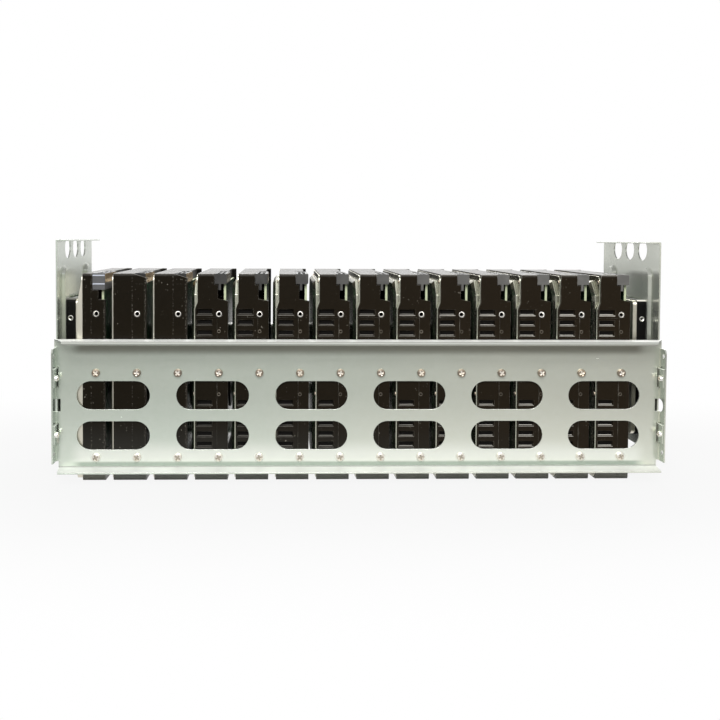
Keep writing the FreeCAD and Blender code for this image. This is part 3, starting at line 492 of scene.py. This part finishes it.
# painted reflections: upper screw heads dark with painted highlights in their keys, lower heads painted
# bright as lit by the floor, with darker keys
plated_screw = make_plated("plated_screw", (0.24, 0.20, 0.16), (0.32, 0.265, 0.205), 0.24,
                           low=(0.76, 0.72, 0.65))
key_highlight = make_plated("screw_key_highlight", (0.86, 0.81, 0.74), (0.90, 0.83, 0.72), 0.30,
                         low=(0.42, 0.38, 0.31))
bright_steel = make_plated("machined_rim", (0.82, 0.80, 0.75), (0.90, 0.88, 0.84), 0.18)
gold_contact = make_plated("gold_contact", (0.24, 0.17, 0.09), (0.30, 0.22, 0.13), 0.35)
tinned_contact = make_plated("tinned_contact", (0.10, 0.09, 0.075), (0.15, 0.135, 0.11), 0.35)
worn_boss = make_plated("worn_boss", (0.07, 0.062, 0.05), (0.11, 0.098, 0.08), 0.35)


def dress(node, finish):
    """Puts a finish on a CAD node."""
    mesh = NODES[node].data
    mesh.materials.clear()
    mesh.materials.append(finish.material)


for node in ("front_panel", "rear_panel", "left_wall", "right_wall"):
    dress(node, galvanised)
for number in DRIVES:
    dress(f"drive_{number:02d}_base", black_casting)
    dress(f"drive_{number:02d}_board", laminate)
    dress(f"drive_{number:02d}_lid", silver_lid if number in RIBBED_DRIVES else cream_lid)
dress("sata_connectors", connector_plastic)
dress("drive_01_connector", old_connector_plastic)
for side in ("left", "right"):
    dress(f"{side}_small_base", small_casting)
    dress(f"{side}_small_lid", cream_lid)
    dress(f"{side}_small_board", laminate)

# Pieces
SHARP_ANGLE = math.radians(35)


def copies(shape, places):
    """One mesh of a shape's copies, a matrix for each."""
    single = bpy.data.meshes.new("single")
    shape.to_mesh(single)
    shape.free()
    gathered = bmesh.new()
    for place in places:
        copy = single.copy()
        copy.transform(place)
        gathered.from_mesh(copy)
        bpy.data.meshes.remove(copy)
    bpy.data.meshes.remove(single)
    return gathered


def piece(shape, name, finish, stands_for=None, second=None):
    """Makes a bmesh in millimetres an object of the scene that rides on the cage."""
    bmesh.ops.scale(shape, vec=(MM, MM, MM), verts=shape.verts)
    mesh = bpy.data.meshes.new(name)
    shape.to_mesh(mesh)
    shape.free()
    mesh.shade_smooth()
    mesh.set_sharp_from_angle(angle=SHARP_ANGLE)
    mesh.materials.append(finish.material)
    if second is not None:
        mesh.materials.append(second.material)
    made = bpy.data.objects.new(name, mesh)
    bpy.context.scene.collection.objects.link(made)
    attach(made, ROOT)
    if stands_for is not None:
        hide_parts(stands_for)


def grow(shape, rim, radius, height):
    """Extrudes a round rim about Z to a new radius and height, and gives the new rim."""
    made = bmesh.ops.extrude_edge_only(shape, edges=rim)["geom"]
    for vertex in (item for item in made if isinstance(item, bmesh.types.BMVert)):
        across = vertex.co.xy.normalized() * radius
        vertex.co = (across.x, across.y, height)
    return [item for item in made if isinstance(item, bmesh.types.BMEdge) and item.is_boundary]


def cross_key(span, arm):
    """A flat cross of five faces at z = 0."""
    shape = bmesh.new()
    bmesh.ops.create_grid(shape, x_segments=3, y_segments=3, size=0.5)
    for vertex in shape.verts:
        for axis in (0, 1):
            reach = arm if abs(vertex.co[axis]) < 0.3 else span
            vertex.co[axis] = math.copysign(reach / 2, vertex.co[axis])
    corners = [face for face in shape.faces
               if min(abs(face.calc_center_median().x), abs(face.calc_center_median().y)) > arm / 2]
    bmesh.ops.delete(shape, geom=corners, context="FACES")
    return shape


def hexagon_key(span):
    """A flat hexagon at z = 0."""
    shape = bmesh.new()
    bmesh.ops.create_circle(shape, cap_ends=True, segments=6, radius=span / 2)
    return shape


KEY_TAPER = 0.85
CROWN_INDEX = 0
KEY_INDEX = 1


def keyed_screw(shape, depth, crown, stations, segments=24):
    """A screw along Z with its crown at a height over z = 0, made round a flat key that is sunk to a depth.

    The stations, as (radius, height from the crown), run from the crown's rim to the tip.
    """
    floor = list(shape.faces)
    mouth = [edge for edge in shape.edges if edge.is_boundary]
    sunk = bmesh.ops.extrude_face_region(shape, geom=floor)["geom"]
    bottom = [item for item in sunk if isinstance(item, bmesh.types.BMVert)]
    bmesh.ops.delete(shape, geom=floor, context="FACES_KEEP_BOUNDARY")
    bmesh.ops.scale(shape, vec=(KEY_TAPER, KEY_TAPER, 1), verts=bottom)
    bmesh.ops.translate(shape, vec=(0, 0, -depth), verts=bottom)
    for face in shape.faces:
        face.material_index = KEY_INDEX
    radius, height = stations[0]
    ring = bmesh.ops.create_circle(shape, segments=segments, radius=radius)["verts"]
    bmesh.ops.translate(shape, vec=(0, 0, height), verts=ring)
    rim = list({edge for vertex in ring for edge in vertex.link_edges})
    filled = bmesh.ops.triangle_fill(shape, use_beauty=True, edges=mouth + rim, normal=(0, 0, 1))["geom"]
    for face in (item for item in filled if isinstance(item, bmesh.types.BMFace)):
        face.material_index = CROWN_INDEX
    for radius, height in stations[1:]:
        rim = grow(shape, rim, radius, height)
    bmesh.ops.holes_fill(shape, edges=rim, sides=0)
    bmesh.ops.recalc_face_normals(shape, faces=shape.faces)
    bmesh.ops.translate(shape, vec=(0, 0, crown), verts=shape.verts)
    return shape


def lathe(profile, segments=24):
    """A ring about Z from a closed profile of (radius, height) points."""
    shape = bmesh.new()
    points = [shape.verts.new((radius, 0, height)) for radius, height in profile]
    loop = [shape.edges.new(pair) for pair in zip(points, points[1:] + points[:1])]
    bmesh.ops.spin(shape, geom=points + loop, cent=(0, 0, 0), axis=(0, 0, 1), angle=math.tau,
                   steps=segments, use_merge=True)
    bmesh.ops.remove_doubles(shape, verts=shape.verts, dist=1e-5)
    bmesh.ops.recalc_face_normals(shape, faces=shape.faces)
    return shape


FACING = {
    "front": Matrix.Rotation(math.radians(90), 4, "X"),
    "rear": Matrix.Rotation(math.radians(-90), 4, "X"),
    "right": Matrix.Rotation(math.radians(90), 4, "Y"),
    "left": Matrix.Rotation(math.radians(-90), 4, "Y"),
}
TURN_SEED = 7
turns = random.Random(TURN_SEED)


def seated(direction, x, y, z):
    """Where a part made along Z goes when its crown faces in a direction, at a random turn."""
    spin = Matrix.Rotation(turns.uniform(0, math.tau), 4, "Z")
    return Matrix.Translation((x, y, z)) @ FACING[direction] @ spin


# Screws stand on the faces that carry them, with the plain CAD screws hidden.
def drive_screw():
    crown = 1.9
    return keyed_screw(cross_key(span=3.9, arm=1.15), 0.6, crown, [
        (2.3, 0.0), (2.6, -0.12), (2.82, -0.45), (2.9, -0.9), (2.9, -crown), (1.7, -crown), (1.7, -6.1),
        (1.3, -6.4)])


def tab_screw():
    crown = 2.0
    return keyed_screw(cross_key(span=2.8, arm=0.9), 1.1, crown, [
        (1.6, -0.05), (2.0, -0.3), (2.15, -0.8), (2.2, -1.2), (2.2, -crown), (1.5, -crown), (1.5, -3.7),
        (1.2, -4.0)])


def small_drive_screw():
    crown = 1.2
    return keyed_screw(cross_key(span=2.8, arm=0.8), 0.9, crown, [
        (1.7, 0.0), (2.3, -0.15), (2.6, -0.5), (2.6, -crown), (1.5, -crown), (1.5, -4.4), (1.2, -4.7)])


def lid_screw():
    crown = 0.7
    return keyed_screw(hexagon_key(span=1.3), 0.5, crown, [
        (0.9, 0.0), (1.35, -0.15), (1.45, -0.45), (1.45, -0.9)], segments=12)


for direction, side in LONG_SIDES:
    places = [seated(direction, drive_x(number), side * PANEL_FACE_Y, height)
              for height in (LOWER_SCREW_ROW_Z, UPPER_SCREW_ROW_Z) for number in DRIVES]
    piece(copies(drive_screw(), places), f"{direction}_drive_screw_set", plated_screw,
          f"{direction}_drive_screws", second=key_highlight)

places = [seated(direction, side * TAB_SCREW_X, y, z) for direction, side in (("left", 1), ("right", -1))
          for y in (-TAB_SCREW_Y, TAB_SCREW_Y) for z in TAB_SCREW_HEIGHTS]
piece(copies(tab_screw(), places), "tab_screw_set", bright_steel, "tab_screws",
      second=key_highlight)

places = [seated(direction, side * SMALL_SCREW_X, y, z) for direction, side in (("right", 1), ("left", -1))
          for y in (-SMALL_SCREW_Y, SMALL_SCREW_Y) for z in SMALL_HOLE_HEIGHTS]
piece(copies(small_drive_screw(), places), "small_drive_screw_set", plated_screw,
      "small_drive_screws", second=key_highlight)

# Bright rims of the free side holes, let into their shallow faces
hole_rim = [(1.2, -0.9), (1.5, -0.9), (1.55, -0.28), (2.0, -0.28), (2.0, 0.0), (1.75, 0.05), (1.35, -0.3)]
places = [seated(direction, drive_x(number), side * DRIVE_SIDE_Y, SIDE_HOLE_Z)
          for direction, side in LONG_SIDES for number in DRIVES]
piece(copies(lathe(hole_rim), places), "side_hole_rims", bright_steel)

# Small round bosses on the ribbed castings
boss = [(0.75, -0.2), (1.3, -0.2), (1.3, 0.02), (1.15, 0.1), (0.9, 0.1), (0.75, 0.02)]
places = [seated(direction, drive_x(number), side * DRIVE_SIDE_Y, height)
          for direction, side in LONG_SIDES for height in BOSS_HEIGHTS for number in RIBBED_DRIVES]
piece(copies(lathe(boss, segments=16), places), "casting_bosses", worn_boss)


def blocks(boxes):
    """Boxes in one mesh, each given by its low and high corner."""
    shape = bmesh.new()
    for low, high in boxes:
        low, high = Vector(low), Vector(high)
        place = Matrix.Translation((low + high) / 2) @ Matrix.Diagonal((*(high - low), 1))
        bmesh.ops.create_cube(shape, size=1, matrix=place)
    return shape


# Pale ribs across the older connector's end
rib_left, rib_right = (drive_x(OLD_DRIVE) + end for end in RIB_ENDS)
ribs = [((rib_left, CONNECTOR_NEAR_Y - RIB_HALF_DEPTH, z - RIB_HALF_HEIGHT),
         (rib_right, CONNECTOR_NEAR_Y + RIB_HALF_DEPTH, z + RIB_HALF_HEIGHT)) for z in RIB_HEIGHTS]
piece(blocks(ribs), "old_connector_ribs", pale_plastic)

# Soldered pins on the board side of each connector
gold_pins, tinned_pins = [], []
for number in DRIVES:
    near = CLOSED_CONNECTOR_NEAR_Y if number in PLAIN_DRIVES else CONNECTOR_NEAR_Y
    left = drive_x(number) + (OLD_PIN_LEFT if number == OLD_DRIVE else PIN_LEFT)
    pins = gold_pins if number in GOLD_PIN_DRIVES else tinned_pins
    for y in (near + FIRST_PIN + PIN_PITCH * step for step in range(PIN_COUNT)):
        foot = (left, y - PIN_HALF_WIDTH, PIN_FOOT_Z)
        head = (left + PIN_THICKNESS, y + PIN_HALF_WIDTH, PIN_HEAD_Z)
        pins.append((foot, head))
piece(blocks(gold_pins), "gold_connector_pins", gold_contact)
piece(blocks(tinned_pins), "tinned_connector_pins", tinned_contact)

# Rims of the small drives' free side holes
small_rim = [(0.9, -0.5), (1.3, -0.5), (1.35, 0.0), (1.9, 0.0), (1.9, 0.2), (1.5, 0.25), (1.05, -0.05)]
places = [seated(direction, side * SMALL_SIDE_HOLE_X, front * SMALL_SIDE_Y, max(SMALL_HOLE_HEIGHTS))
          for direction, front in LONG_SIDES for side in (-1, 1)]
piece(copies(lathe(small_rim), places), "small_drive_hole_rims", bright_steel)

# Screws along the borders of the ribbed lids, the highest on the lowered end
places = []
for number in RIBBED_DRIVES:
    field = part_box(f"drive_{number:02d}_lid")[0][0] / MM
    for height in LID_SCREW_HEIGHTS:
        lowered = LID_DROP if height == max(LID_SCREW_HEIGHTS) else 0.0
        for y in (-LID_SCREW_Y, LID_SCREW_Y):
            places.append(seated("left", field + LID_EMBOSS + lowered, y, height))
piece(copies(lid_screw(), places), "lid_screws", plated_screw, second=black_casting)

# Stage: the floor's half width and the lamps are in metres, and the fades from the middle in millimetres
WHITE_LEVEL = 1.0
SKY_LEVEL = 0.06
FLOOR_HALF = 4.0
FLOOR_OVAL = (0.4, 1, 1)
NEAR_WHITE = 0.90
SHADOW_FADE = (60.0, 300.0)
MIRROR_FADE = (80.0, 450.0)
LAMP_TARGET = (0, 0, 0.08)
LAMPS = (
    ("softbox", (0.1, 1.45, 0.92), (2.0, 0.4), 20.0),
    ("high_softbox", (0.1, 1.0, 1.25), (1.0, 0.4), 15.0),
)


def seen_as_background(finish):
    """Two masks: 1 for rays from the camera, and 1 for rays from mirrors and glass."""
    camera, glossy, through = (finish.add("ShaderNodeLightPath", output=name) for name in (
        "Is Camera Ray", "Is Glossy Ray", "Is Transmission Ray"))
    return camera, glossy.larger(through)


def make_floor():
    """A pale floor that looks white and still shows a faint shadow."""
    shape = bmesh.new()
    bmesh.ops.create_grid(shape, x_segments=1, y_segments=1, size=FLOOR_HALF)
    mesh = bpy.data.meshes.new("floor")
    shape.to_mesh(mesh)
    shape.free()
    finish = Finish("pale_floor")
    camera, mirrored = seen_as_background(finish)
    away = finish.add("ShaderNodeVectorMath", {"operation": "LENGTH"}, {0: finish.place(FLOOR_OVAL)}, 1)
    white = NEAR_WHITE + away.past(SHADOW_FADE) * (1 - NEAR_WHITE)
    shown = (camera * white).larger(mirrored * away.short_of(MIRROR_FADE))
    glow = finish.add("ShaderNodeEmission", None, {"Color": (1, 1, 1), "Strength": WHITE_LEVEL})
    finish.set(Base_Color=(0.25, 0.25, 0.245), Roughness=0.8, Specular_IOR_Level=0.0)
    mix = finish.add("ShaderNodeMixShader", None, {
        0: shown, 1: Signal(finish, finish.shader.outputs[0]), 2: glow})
    finish.feed(finish.tree.nodes["Material Output"].inputs["Surface"], mix)
    mesh.materials.append(finish.material)
    floor = bpy.data.objects.new("floor", mesh)
    bpy.context.scene.collection.objects.link(floor)


class Sky(Finish):
    """The world's node tree, with the same node maker as a material."""

    def __init__(self, name):
        self.world = bpy.data.worlds.new(name)
        self.world.use_nodes = True
        self.tree = self.world.node_tree


def make_world():
    sky = Sky("studio")
    camera, mirrored = seen_as_background(sky)
    fill = sky.add("ShaderNodeBackground", None, {"Color": (1.0, 1.0, 0.99), "Strength": SKY_LEVEL})
    white = sky.add("ShaderNodeBackground", None, {"Color": (1, 1, 1), "Strength": WHITE_LEVEL})
    mix = sky.add("ShaderNodeMixShader", None, {0: camera.larger(mirrored), 1: fill, 2: white})
    sky.feed(sky.tree.nodes["World Output"].inputs["Surface"], mix)
    bpy.context.scene.world = sky.world


def add_softbox(name, place, size, power):
    """A rectangular lamp, with its size as width and height, that points at the cage."""
    lamp = bpy.data.lights.new(name, "AREA")
    lamp.shape = "RECTANGLE"
    lamp.size, lamp.size_y = size
    lamp.energy = power
    box = bpy.data.objects.new(name, lamp)
    box.location = place
    box.rotation_euler = (Vector(LAMP_TARGET) - Vector(place)).to_track_quat("-Z", "Y").to_euler()
    box.visible_camera = False
    bpy.context.scene.collection.objects.link(box)


make_floor()
make_world()
for direction, side in LONG_SIDES:
    for name, (x, y, z), size, power in LAMPS:
        add_softbox(f"{direction}_{name}", (x * side, y * side, z), size, power)

# Camera, from points of the photograph whose place on the cage is known
FRAME_PIXELS = 720
CAMERA_PLACE = (-54.3, -623.5, 172.2)
CAMERA_YAW, CAMERA_PITCH, CAMERA_ROLL = (math.radians(angle) for angle in (1.507, 1.670, 0.268))
FOCAL_PIXELS = 810.3
CENTRE_PIXEL = (306, 262)
SENSOR_WIDTH = 36.0
NEAREST = 0.01


def make_camera():
    lens = bpy.data.cameras.new("camera")
    lens.sensor_width = SENSOR_WIDTH
    lens.lens = FOCAL_PIXELS / FRAME_PIXELS * SENSOR_WIDTH
    lens.shift_x = (FRAME_PIXELS / 2 - CENTRE_PIXEL[0]) / FRAME_PIXELS
    lens.shift_y = (CENTRE_PIXEL[1] - FRAME_PIXELS / 2) / FRAME_PIXELS
    lens.clip_start = NEAREST
    camera = bpy.data.objects.new("camera", lens)
    turn = (Matrix.Rotation(-CAMERA_YAW, 4, "Z") @ Matrix.Rotation(math.radians(90) - CAMERA_PITCH, 4, "X")
            @ Matrix.Rotation(CAMERA_ROLL, 4, "Z"))
    camera.matrix_world = Matrix.Translation(Vector(CAMERA_PLACE) * MM) @ turn
    bpy.context.scene.collection.objects.link(camera)
    bpy.context.scene.camera = camera


make_camera()
bpy.context.scene.view_settings.view_transform = "Standard"
